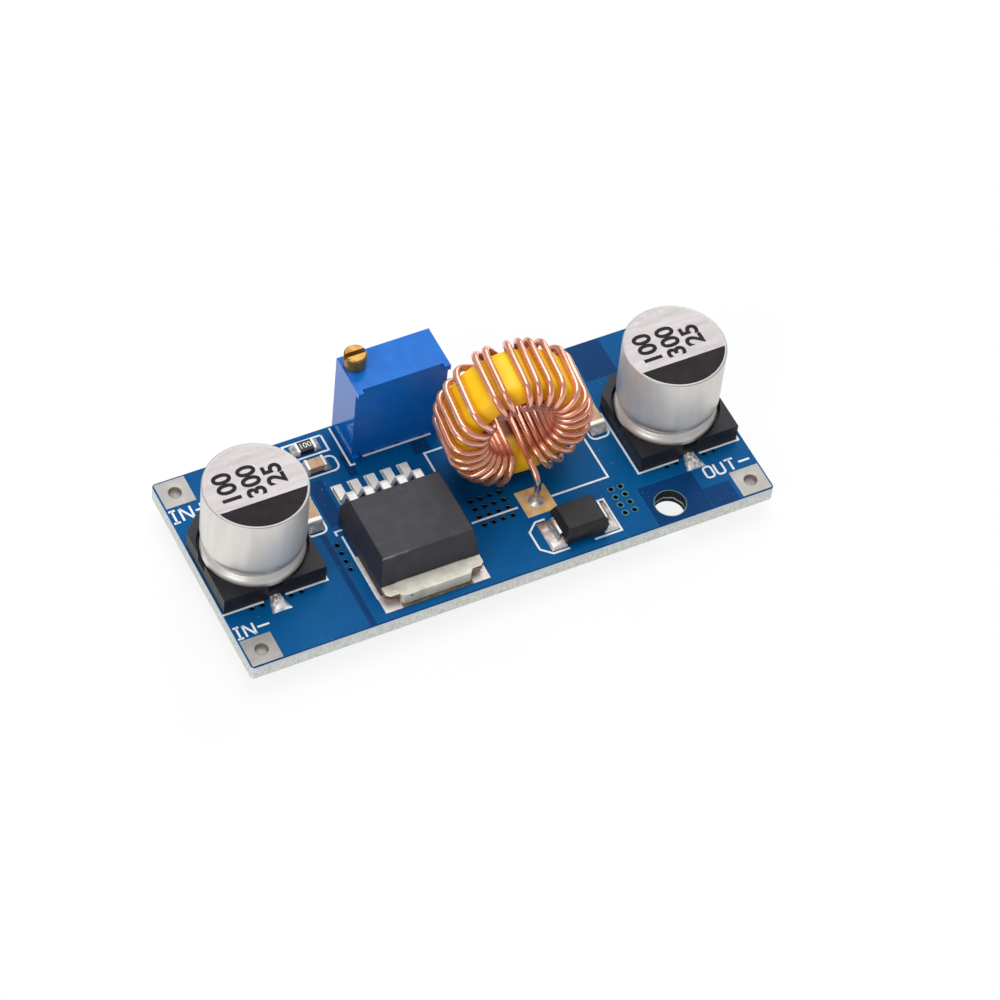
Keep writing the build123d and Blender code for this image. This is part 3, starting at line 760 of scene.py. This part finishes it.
def board_print():
    """White outlines round the parts."""
    shape = Shape()
    width = 0.2
    input_front, output_front = -4.95, -5.0
    ring_front, ring_rear = -4.2, 5.07
    diode_front, diode_rear = -10.35, -6.4
    resistor_front, resistor_rear = 8.95, 10.85
    chips_left = -13.9
    capacitor_lines = (
        ((-half_length, input_front), (-22.9, input_front)),
        ((-20.7, input_front), (-16.45, input_front), (-16.45, -3.7)),
        ((15.85, 3.0), (15.85, output_front), (20.1, output_front)),
        ((22.3, output_front), (26.55, output_front), (26.55, -3.6)),
    )
    inductor_lines = (
        ((-1.8, 2.7), (-1.8, ring_rear), (1.2, ring_rear)),
        ((-1.3, ring_front), (3.5, ring_front)),
        ((7.0, ring_front), (13.0, ring_front), (13.0, ring_rear), (8.5, ring_rear)),
    )
    trimmer_lines = (
        ((-8.8, 11.3), (-8.8, 6.45), (-8.3, 6.45)),
        ((-7.3, 7.0), (-0.2, 7.0)),
    )
    regulator_lines = (
        ((-12.6, -0.2), (-13.5, -0.2), (-13.5, -0.7)),
        ((-13.1, -0.9), (-13.1, -8.8)),
    )
    diode_lines = (
        (
            (5.2, diode_rear), (4.2, diode_rear), (3.2, -7.3),
            (3.2, -9.45), (4.2, diode_front), (5.9, diode_front),
        ),
        ((10.2, diode_rear), (11.35, diode_rear), (11.35, diode_front), (8.5, diode_front)),
    )
    resistor_lines = (
        (
            (-9.9, resistor_rear), (chips_left, resistor_rear),
            (chips_left, resistor_front), (-9.9, resistor_front), (-9.9, resistor_rear),
        ),
    )
    for lines in (
        capacitor_lines, inductor_lines, trimmer_lines, regulator_lines, diode_lines, resistor_lines,
    ):
        for line in lines:
            printed_line(shape, line, width, board_top)
    corner = 0.6
    right, front, rear = -9.8, 6.5, 8.3
    rounded = [(chips_left, front)] + arc(right - corner, front + corner, corner, -90, 0, 5)
    rounded += arc(right - corner, rear - corner, corner, 0, 90, 5) + [(chips_left, rear)]
    printed_line(shape, rounded, width, board_top)
    for left, right, front, rear in ((-16.1, -14.0, 0.15, 4.8), (13.6, 15.6, 0.3, 5.0)):
        rounded = [(left, rear)] + arc(left + corner, front + corner, corner, 180, 270, 5)
        rounded += arc(right - corner, front + corner, corner, 270, 360, 5) + [(right, rear)]
        printed_line(shape, rounded, width, board_top)
    piece("board_print", shape, ink_white)
    letters = Shape()
    stroke = 0.21
    left, right = -half_length + 0.2, half_length - 5.3
    for words, x, y, height in (
        ("IN+", left, 6.45, 1.45), ("IN-", left, -8.0, 1.3),
        ("OUT+", right, 6.45, 1.3), ("OUT-", right, -8.05, 1.3),
    ):
        plotted_words(letters, words, x, y, height, stroke)
    piece("board_lettering", letters, ink_white)


def via_places():
    """Centres of the plated holes: three grids, and four holes in front of each capacitor."""
    places = []
    # Each grid's first X and Y, and its columns and rows, one millimetre apart.
    grids = ((-13.95, -4.65, 1, 4), (-0.3, -4.8, 4, 4), (12.57, -8.64, 2, 4))
    for first_x, first_y, columns, rows in grids:
        places += [(first_x + i, first_y + j) for i in range(columns) for j in range(rows)]
    row_y = -5.2
    for node in ("input_capacitor_can", "output_capacitor_can"):
        x = middle(node).x
        places += [(x + offset, row_y) for offset in (-2.5, -1.45, 1.45, 2.5)]
    return places


def via_rims():
    """A round rim and sleeve in each plated hole."""
    shape = Shape()
    rim_height = 0.012
    rim, mouth, sleeve, funnel = 0.36, 0.27, 0.19, 0.12
    top, under = board_top + rim_height, board_under - rim_height
    for x, y in via_places():
        profile = [(rim, under), (rim, top), (mouth, top), (sleeve, top - funnel)]
        profile += [(sleeve, under + funnel), (mouth, under)]
        turned(shape, x, y, profile, 20, loop=True)
    piece("via_rims", shape, via_rim)


def mounting_rims():
    """The thin bare ring round each mounting hole."""
    shape = Shape()
    inner, outer = mounting_radius, mounting_radius + 0.08
    proud, thick = 0.01, 0.03
    for x, y in mounting_places:
        for z in (board_under - proud, board_top + proud - thick):
            profile = [(outer, z), (outer, z + thick), (inner, z + thick), (inner, z)]
            turned(shape, x, y, profile, 64, loop=True)
    piece("mounting_rims", shape, hole_rim)


def terminal_sleeves():
    """The plating inside each terminal hole, with a low rim."""
    shape = Shape()
    rim, crest, sleeve = 0.68, 0.62, 0.58
    for side in ("input", "output"):
        for pole in ("positive", "negative"):
            node = f"{side}_{pole}_terminal"
            low, high = box(node)
            profile = [(rim, low.z - 0.01), (rim, high.z + 0.01), (crest, high.z + 0.025)]
            profile += [(sleeve, high.z - 0.02), (sleeve, low.z + 0.02), (crest, low.z - 0.015)]
            turned(shape, middle(node).x, middle(node).y, profile, 40, loop=True)
    piece("terminal_sleeves", shape, bore_tin)


# Can capacitors

def can_shell(side):
    """The drawn can with its rolled bead, waist and rounded end."""
    node = f"{side}_capacitor_can"
    low, high = box(node)
    x, y = middle(node).x, middle(node).y
    sides = 128
    radius = (high.x - low.x) / 2
    foot = radius - 0.02
    bead = 0.8
    waist = radius - 0.55
    groove = 0.2
    groove_height = low.z + 1.66
    taper = 2.2
    taper_end = groove_height + 1.6
    edge = 0.12
    face_radius = radius - edge - 0.06
    top = high.z - 0.03
    profile = [(foot - bead, low.z)] + arc(foot - bead, low.z + bead, bead, -75, 50, 14)
    profile += arc(waist + groove, groove_height, groove, 230, 140, 6)
    profile += arc(radius - taper, taper_end, taper, -40, 0, 10)
    profile += arc(radius - edge, high.z - edge, edge, 0, 75, 7)
    profile += [(face_radius, high.z - 0.01), (radius - edge - 0.2, top)]
    shape = Shape()
    turned(shape, x, y, profile, sides)
    shell = piece(f"{side}_can_shell", shape, can_metal)
    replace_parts(shell, node)
    lacquer = [(face_radius, top - 0.02), (face_radius, top), (face_radius - 0.03, top + 0.005)]
    face = Shape()
    turned(face, x, y, lacquer, sides)
    piece(f"{side}_can_end", face, can_end)
    ink_height = 0.012
    chord = -1.8
    reach = face_radius - 0.02
    start = math.degrees(math.asin(chord / reach))
    mark = [(x + u, y + v) for u, v in reversed(arc(0, 0, reach, start, -180 - start, 40))]
    segment = Shape()
    segment.skin([[(u, v, z) for u, v in mark] for z in (top, top + ink_height)])
    piece(f"{side}_can_segment", segment, ink_black)
    number_height, number_y = 1.75, y + 0.6
    for row, (words, offset) in enumerate((("100", -2.5), ("300", -0.1), ("25", 2.15))):
        stamped_number(
            f"{side}_can_number_{row + 1}", words, x + offset, number_y, top + 0.003,
            number_height, ink_black, turn_deg=90, weight=0.075,
        )


# Solder

land_top = board_top + 0.005


def crumple(x, y, seed):
    """A small uneven height for solder, the same each run."""
    broad, fine, fine_share = 1.7, 4.1, 0.5
    folds = noise.noise(Vector((x * broad, y * broad, seed)))
    return folds + fine_share * noise.noise(Vector((x * fine, y * fine, seed)))


def capacitor_solder():
    """The crumpled solder that spreads out from each flat terminal."""
    shape = Shape()
    length, near_half, far_half, flare = 1.8, 0.5, 0.98, 0.8
    height, least, fall, crumpling = 0.5, 0.12, 0.55, 0.45
    rows, columns = 16, 18
    seed, seed_step = 0.0, 3.7
    under_base = 0.1
    for side in ("input", "output"):
        low, high = box(f"{side}_capacitor_base")
        x = (low.x + high.x) / 2
        for direction, edge in ((-1, low.y + under_base), (1, high.y - under_base)):
            seed += seed_step
            grid = []
            for j in range(rows + 1):
                u = j / rows
                half = near_half + (far_half - near_half) * u ** flare
                row = []
                for i in range(columns + 1):
                    v = 2 * i / columns - 1
                    px, py = x + v * half, edge + direction * u * length
                    rise = (1 - u ** 4) * (1 - abs(v) ** 3)
                    lump = height * (1 - fall * u) * (1 + crumpling * crumple(px, py, seed))
                    row.append((px, py, land_top + max(lump, least) * rise))
                grid.append(row if direction < 0 else row[::-1])
            shape.patch(grid[::-1])
    mounds = piece("capacitor_solder_mounds", shape, solder, crease_deg=60)
    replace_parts(mounds, "capacitor_solder")


def lead_fillet(shape, place, z, direction, foot, lead, height):
    """A hollow-sided cone of solder round a lead, up or down from z, from one radius to the lead's."""
    steps = 8
    hollow = 2.2
    profile = []
    for i in range(steps + 1):
        u = i / steps
        profile.append((lead + (foot - lead) * (1 - u) ** hollow, z + direction * height * u))
    if direction < 0:
        profile.reverse()
    turned(shape, place.x, place.y, profile, 32)


def inductor_joints():
    """The solder round the inductor's two leads, above and under the board."""
    shape = Shape()
    height = 0.72
    for end in ("front", "rear"):
        node = f"inductor_{end}_pad"
        place = middle(node)
        lead_fillet(shape, place, box(node)[1].z, 1, foot=0.78, lead=0.36, height=height)
        lead_fillet(shape, place, board_under, -1, foot=0.85, lead=0.4, height=height)
    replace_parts(piece("inductor_joints", shape, solder), "inductor_solder")


def trimmer_joints():
    """The solder round the trimmer's pins, under the board."""
    shape = Shape()
    for number in range(1, 4):
        place = middle(f"trimmer_pin_{number}")
        lead_fillet(shape, place, board_under, -1, foot=0.75, lead=0.3, height=0.68)
    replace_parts(piece("trimmer_joints", shape, solder), "trimmer_solder")


def diode_lands():
    """The two lands of the diode, with solder drawn up to its leads."""
    shape = Shape()
    body_low, body_high = box("diode_body")
    land_low, land_high = box("diode_solder")
    rows, columns = 20, 26
    under_body = 0.3
    film, least, crumpling, seed = 0.09, 0.04, 0.05, 8.0
    # The edges slope over these shares of the land's length and width.
    end_share, side_share = 1 / 9, 1 / 12

    def hump(v, height, centre, reach):
        """A smooth rise round one share of the land's width."""
        return height * math.exp(-((v - centre) / reach) ** 2)

    for direction, near, far in (
        (-1, body_low.x + under_body, land_low.x), (1, body_high.x - under_body, land_high.x),
    ):
        grid = []
        for j in range(rows + 1):
            u = j / rows
            row = []
            for i in range(columns + 1):
                v = i / columns
                px = near + (far - near) * u
                py = land_low.y + (land_high.y - land_low.y) * v
                edge = min(1, (1 - u) / end_share, v / side_share, (1 - v) / side_share)
                at_lead = (1 - u) ** 1.5 * hump(v, 0.5, 0.42, 0.3)
                in_front = hump(v, 0.12, 0.2, 0.2)
                lump = film + at_lead + in_front + crumpling * crumple(px, py, seed)
                row.append((px, py, land_top + max(lump, least) * edge ** 0.5))
            grid.append(row)
        shape.patch(grid if direction > 0 else [row[::-1] for row in grid])
    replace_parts(piece("diode_lands", shape, diode_land, crease_deg=70), "diode_solder")


# Toroidal inductor

ring_centre = middle("inductor_core")
ring_turn = math.radians(-5.6)
core_outer, core_inner, core_width = 6.45, 3.85, 5.4
wire_radius = 0.34
wire_slack = 0.035
face_slack = 0.3


def from_ring(point):
    """From the ring's own frame, axis along Y, to its place on the board."""
    x, y, z = point
    cosine, sine = math.cos(ring_turn), math.sin(ring_turn)
    return ring_centre + Vector((cosine * x - sine * y, sine * x + cosine * y, z))


def to_ring(point):
    """From the board to the ring's own frame."""
    x, y, z = point - ring_centre
    cosine, sine = math.cos(ring_turn), math.sin(ring_turn)
    return Vector((cosine * x + sine * y, cosine * y - sine * x, z))


def ring_core():
    """The lacquered ring, its edges rounded."""
    edge = 0.95
    half = core_width / 2
    section = []
    corners = (
        (core_outer - edge, half - edge, 0), (core_inner + edge, half - edge, 90),
        (core_inner + edge, edge - half, 180), (core_outer - edge, edge - half, 270),
    )
    for u, v, start in corners:
        section += arc(u, v, edge, start, start + 90, 6)
    sides = 160
    shape = Shape()
    rings = []
    for i in range(sides):
        a = 2 * math.pi * i / sides
        ring = [(u * math.cos(a), v, u * math.sin(a)) for u, v in reversed(section)]
        rings.append([from_ring(point) for point in ring])
    shape.skin(rings, loop=True)
    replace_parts(piece("ring_core", shape, core_yellow), "inductor_core")


def spread(groups):
    """Evenly spaced angles within each group of turns: how many, the first and the last."""
    angles = []
    for count, first, last in groups:
        angles += [first + (last - first) * i / (count - 1) for i in range(count)]
    return angles


def winding_corners():
    """Where the wire turns, from the rear lead's tip to the front lead's tip, in the ring's frame."""
    # Angles are in degrees round the ring's axis, 0 at the right and 90 at the top.
    left_turns = 10
    outer = spread(((left_turns, 251, 139), (2, 118, 108), (4, 92, 60), (9, 40, -62)))
    inner = spread(((left_turns, 257, 147), (2, 119, 107), (4, 89, 50), (9, 38, -64))) + [-78]
    outer_radius = core_outer + wire_radius + wire_slack
    inner_radius = core_inner - wire_radius - wire_slack
    half = core_width / 2 + wire_radius + face_slack
    close_half = core_width / 2 + wire_radius + wire_slack
    left_slack, right_slack, front_slack, rear_slack = 0.16, 0.06, 0.15, 0.2
    wobble = 1.5
    lead_straight = 6.5

    def at(radius, angle_deg, y):
        """A point at an angle round the ring's axis."""
        a = math.radians(angle_deg)
        return Vector((radius * math.cos(a), y, radius * math.sin(a)))

    def loose(angle_deg):
        """A turn's outer radius: slack at the sides, level with the core at its top and foot."""
        a = math.radians(angle_deg)
        slack = left_slack if math.cos(a) < 0 else right_slack
        return min(outer_radius + slack, outer_radius / max(abs(math.sin(a)), 0.5))

    ends = []
    for end in ("rear", "front"):
        pad = middle(f"inductor_{end}_pad")
        tip = to_ring(Vector((pad.x, pad.y, 0)))
        ends.append((tip, tip + Vector((0, 0, lead_straight))))
    corners = [ends[0][0], ends[0][1]]
    for k, angle in enumerate(inner):
        rear_half = close_half if k < left_turns else half + rear_slack
        front_half = half + front_slack if k < left_turns else half
        corners.append(at(inner_radius, angle, rear_half))
        corners.append(at(inner_radius, angle, -front_half))
        if k < len(outer):
            front_angle = outer[k] + wobble * math.sin(2.4 * k + 0.7)
            rear_angle = outer[k] + wobble * math.sin(1.9 * k)
            corners.append(at(loose(front_angle), front_angle, -front_half))
            corners.append(at(loose(rear_angle), rear_angle, rear_half))
    return corners + [ends[1][1], ends[1][0]]


def eased(corners, bends, steps):
    """The same route with each corner as an arc that fits its two runs."""
    run_share = 0.45
    route = [corners[0]]
    for before, corner, after, bend in zip(corners, corners[1:], corners[2:], bends):
        into, away = (corner - before).normalized(), (after - corner).normalized()
        turn = into.angle(away)
        room = run_share * min((corner - before).length, (after - corner).length)
        radius = min(bend, room / math.tan(turn / 2))
        start = corner - into * (radius * math.tan(turn / 2))
        side = (away - into * into.dot(away)).normalized()
        for i in range(steps + 1):
            a = turn * i / steps
            onward, aside = radius * math.sin(a), radius * (1 - math.cos(a))
            route.append(start + into * onward + side * aside)
    return route + [corners[-1]]


def winding():
    """The enamelled wire, with its two tinned lead ends."""
    turn_bend, lead_bend = 1.5, 4.0
    corners = winding_corners()
    inner_corners = len(corners) - 2
    bends = [lead_bend] + [turn_bend] * (inner_corners - 2) + [lead_bend]
    route = [from_ring(point) for point in eased(corners, bends, 9)]
    sides = 16
    shape = Shape()
    swept(shape, route, wire_radius, sides)
    wire = piece("enamelled_wire", shape, wire_copper)
    wire.data.materials.append(tinned_wire)
    tinned_to = board_top + 2.9
    first = next(i for i, point in enumerate(route) if point.z > tinned_to)
    last = next(i for i, point in enumerate(reversed(route)) if point.z > tinned_to)
    spans = len(route) - 1
    for face in wire.data.polygons:
        span = face.index // sides
        if span < first or span >= spans - last:
            face.material_index = 1
    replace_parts(wire, "inductor_winding")


def chip_number():
    """The plain number on the chip resistor."""
    place = middle("chip_resistor_body")
    top = box("chip_resistor_body")[1].z
    number_height = 0.6
    stamped_number(
        "chip_number", "100", place.x, place.y, top - 0.005,
        number_height, ink_white,
    )


# Floor, light and camera

def stage():
    """A white floor that keeps a faint shadow of the board."""
    made = Finish("floor_paper")
    tree = made.tree
    made.set(
        Base_Color=made.span(made.grain(0.02, 2.0), 0, 1, 0.9, 0.93),
        Roughness=0.8,
        Specular_IOR_Level=0.1,
    )
    glow = tree.nodes.new("ShaderNodeEmission")
    glow.inputs["Color"].default_value = (1, 1, 1, 1)
    glow.inputs["Strength"].default_value = 1.0
    path = tree.nodes.new("ShaderNodeLightPath")
    mix = tree.nodes.new("ShaderNodeMixShader")
    white_share = 0.86
    seen = made.math("MAXIMUM", path.outputs["Is Camera Ray"], path.outputs["Is Glossy Ray"])
    tree.links.new(made.math("MULTIPLY", seen, white_share), mix.inputs[0])
    tree.links.new(made.surface.outputs[0], mix.inputs[1])
    tree.links.new(glow.outputs[0], mix.inputs[2])
    tree.links.new(mix.outputs[0], tree.nodes["Material Output"].inputs["Surface"])
    half = 1500
    mesh = bpy.data.meshes.new("floor")
    corners = [(-half, -half), (half, -half), (half, half), (-half, half)]
    mesh.from_pydata([(x * MM, y * MM, 0) for x, y in corners], [], [(0, 1, 2, 3)])
    mesh.materials.append(made.material)
    floor = bpy.data.objects.new("floor", mesh)
    bpy.context.collection.objects.link(floor)


def soft_box(name, place, size, power):
    """An area light that faces the board."""
    aim_height = 8
    light = bpy.data.lights.new(name, "AREA")
    light.shape = "RECTANGLE"
    light.size, light.size_y = size[0] * MM, size[1] * MM
    light.energy = power
    made = bpy.data.objects.new(name, light)
    made.location = Vector(place) * MM
    aim = Vector((0, 0, aim_height)) * MM - made.location
    made.rotation_euler = aim.to_track_quat("-Z", "Y").to_euler()
    bpy.context.collection.objects.link(made)


def lights():
    """A plain white world and three soft boxes: over the board, at its left and behind it."""
    world = bpy.data.worlds.new("studio")
    world.use_nodes = True
    back = world.node_tree.nodes["Background"]
    back.inputs["Color"].default_value = (1, 1, 1, 1)
    back.inputs["Strength"].default_value = 0.4
    bpy.context.scene.world = world
    soft_box("over_light", place=(40, 120, 420), size=(320, 320), power=1.15)
    soft_box("left_light", place=(-335, -200, 240), size=(240, 320), power=0.72)
    soft_box("rear_light", place=(240, 330, 260), size=(200, 260), power=0.5)


def camera():
    """A long lens from the front left and above, tilted a little."""
    azimuth, elevation, roll = math.radians(-31.516), math.radians(51.588), math.radians(6.835)
    aim = Vector((2.867, -1.899, 2.268))
    distance = 422
    level = math.cos(elevation)
    back = Vector((math.sin(azimuth) * level, -math.cos(azimuth) * level, math.sin(elevation)))
    data = bpy.data.cameras.new("camera")
    data.lens = 161.67
    data.sensor_width = 36
    data.clip_start, data.clip_end = 0.01, 20
    made = bpy.data.objects.new("camera", data)
    made.location = (aim + back * distance) * MM
    made.rotation_mode = "QUATERNION"
    made.rotation_quaternion = (-back).to_track_quat("-Z", "Y") @ Quaternion((0, 0, 1), roll)
    bpy.context.collection.objects.link(made)
    bpy.context.scene.camera = made


dress_cad_nodes()
board_print()
via_rims()
mounting_rims()
terminal_sleeves()
can_shell("input")
can_shell("output")
capacitor_solder()
inductor_joints()
trimmer_joints()
diode_lands()
ring_core()
winding()
chip_number()
stage()
lights()
camera()
bpy.context.scene.view_settings.view_transform = "Standard"
